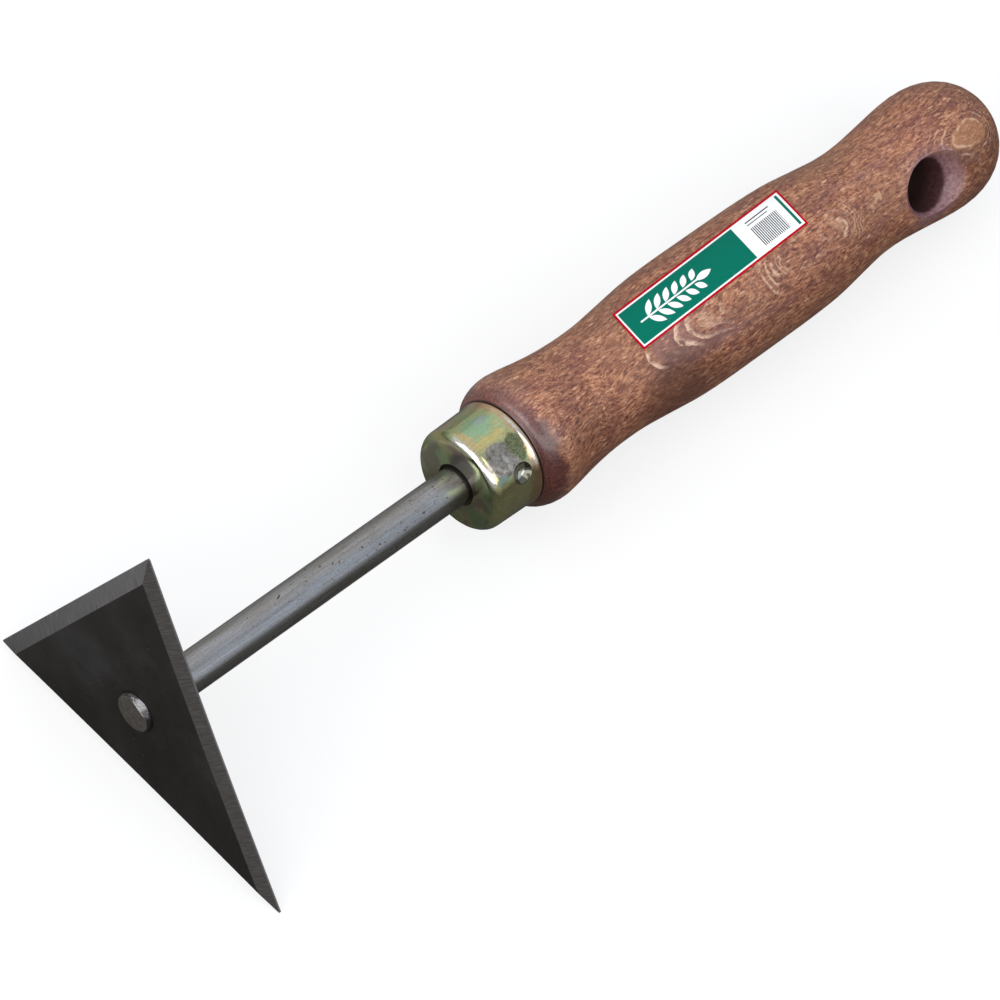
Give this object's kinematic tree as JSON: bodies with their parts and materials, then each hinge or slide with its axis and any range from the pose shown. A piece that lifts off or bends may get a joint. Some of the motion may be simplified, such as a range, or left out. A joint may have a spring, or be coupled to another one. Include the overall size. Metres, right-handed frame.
{
  "type": "triangular hand hoe",
  "caption": "Short one-hand triangular hoe: a bevelled triangular blade riveted square on to a round shank, with a ferrule and a turned wooden handle with a hanging hole.",
  "frame": {"origin": "centre of the hanging hole in the handle, on the tool's axis", "axes": "+Z along the tool from the blade to the end of the handle; Y along the hanging hole; +X completes a right-handed frame"},
  "size_m": [0.0778, 0.0647, 0.2432],
  "materials": {
    "blade_steel": "dark hardened steel, satin, with ground bevels",
    "shank_steel": "drawn bar, slightly dulled, with a few rust specks",
    "zinc_plate": "yellow passivated zinc plate, glossy, iridescent",
    "handle_wood": "satin varnish",
    "label_film": "printed film sticker"
  },
  "bodies": {
    "root": {"blade": "blade_steel", "shank": "shank_steel", "ferrule": "zinc_plate", "handle": "handle_wood", "label": "label_film"}
  },
  "joints": []
}
